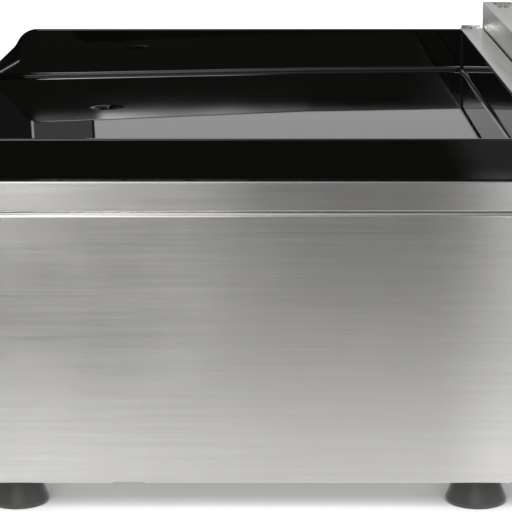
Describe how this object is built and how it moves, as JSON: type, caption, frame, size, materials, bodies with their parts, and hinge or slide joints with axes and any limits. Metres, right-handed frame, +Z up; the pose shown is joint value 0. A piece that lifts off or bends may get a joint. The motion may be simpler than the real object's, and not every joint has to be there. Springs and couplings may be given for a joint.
{
  "type": "flat top griddle",
  "caption": "Counter-top gas griddle: glossy black pan with sloping side ends and a front drain, in a brushed steel case with knobs, igniter, grease drawer and rear flue.",
  "frame": {"origin": "on the worktop, under the middle of the whole griddle seen from above", "axes": "+X to the operator's right, +Y from the operator to the rear flue, +Z up"},
  "size_m": [0.6, 0.535, 0.26],
  "materials": {
    "panel_steel": "fine horizontal brushing",
    "trim_steel": "fine brushing, folded edges",
    "inner_steel": "dull mill finish",
    "burner_steel": "aluminised, heat dulled",
    "fastener_steel": "bright zinc",
    "black_enamel": "high gloss vitreous enamel on thick steel",
    "foot_rubber": "satin moulded",
    "brass": "machined",
    "copper_probe": "dull copper",
    "white_ceramic": "glazed ceramic",
    "black_plastic": "satin moulded phenolic",
    "button_plastic": "gloss",
    "bright_trim": "polished"
  },
  "bodies": {
    "case": {"base_tray": "inner_steel", "burner_bracket_front": "inner_steel", "burner_bracket_rear": "inner_steel", "burner_left": "burner_steel", "burner_right": "burner_steel", "case_screws": "fastener_steel", "control_fascia": "panel_steel", "corner_posts": "inner_steel", "drain_chute": "inner_steel", "drawer_runner_left": "inner_steel", "drawer_runner_right": "inner_steel", "flue_box": "trim_steel", "flue_cover": "trim_steel", "flue_cover_screws": "fastener_steel", "flue_deflector": "inner_steel", "foot_front_left": "foot_rubber", "foot_front_right": "foot_rubber", "foot_rear_left": "foot_rubber", "foot_rear_right": "foot_rubber", "foot_screws": "fastener_steel", "gas_feed_pipe": "burner_steel", "gas_inlet": "brass", "gas_manifold": "burner_steel", "gas_valve_left": "brass", "gas_valve_right": "brass", "griddle_pan": "black_enamel", "heat_shield": "inner_steel", "heat_tray": "inner_steel", "igniter_body": "black_plastic", "igniter_nut": "fastener_steel", "injector_left": "brass", "injector_right": "brass", "knob_bezel_left": "bright_trim", "knob_bezel_right": "bright_trim", "pan_nuts": "fastener_steel", "pan_rail_front": "inner_steel", "pan_rail_rear": "inner_steel", "pilot_bracket_left": "inner_steel", "pilot_bracket_right": "inner_steel", "pilot_burner_left": "brass", "pilot_burner_right": "brass", "rear_ledge": "trim_steel", "rear_panel": "panel_steel", "side_panel_left": "panel_steel", "side_panel_right": "panel_steel", "spark_electrode_left": "white_ceramic", "spark_electrode_right": "white_ceramic", "thermocouple_left": "copper_probe", "thermocouple_right": "copper_probe", "top_collar": "trim_steel"},
    "knob_push_left": {"valve_plunger_left": "brass"},
    "knob_turn_left": {"knob_left": "black_plastic", "valve_stem_left": "brass"},
    "knob_push_right": {"valve_plunger_right": "brass"},
    "knob_turn_right": {"knob_right": "black_plastic", "valve_stem_right": "brass"},
    "igniter": {"igniter_button": "button_plastic"},
    "drawer": {"grease_drawer": "inner_steel", "drawer_front": "trim_steel", "drawer_handle": "bright_trim"}
  },
  "joints": [
    {"name": "knob_push_left", "type": "slide", "parent": "case", "child": "knob_push_left", "axis": [0, 1, 0], "range_m": [0, 0.004], "stiffness_N_per_m": 800},
    {"name": "knob_turn_left", "type": "hinge", "parent": "knob_push_left", "child": "knob_turn_left", "pos_m": [-0.145, -0.25, 0.14], "axis": [0, -1, 0], "range_deg": [0, 180]},
    {"name": "knob_push_right", "type": "slide", "parent": "case", "child": "knob_push_right", "axis": [0, 1, 0], "range_m": [0, 0.004], "stiffness_N_per_m": 800},
    {"name": "knob_turn_right", "type": "hinge", "parent": "knob_push_right", "child": "knob_turn_right", "pos_m": [0.145, -0.25, 0.14], "axis": [0, -1, 0], "range_deg": [0, 180]},
    {"name": "igniter_press", "type": "slide", "parent": "case", "child": "igniter", "axis": [0, 1, 0], "range_m": [0, 0.005], "stiffness_N_per_m": 300},
    {"name": "drawer_slide", "type": "slide", "parent": "case", "child": "drawer", "axis": [0, -1, 0], "range_m": [0, 0.15]}
  ]
}
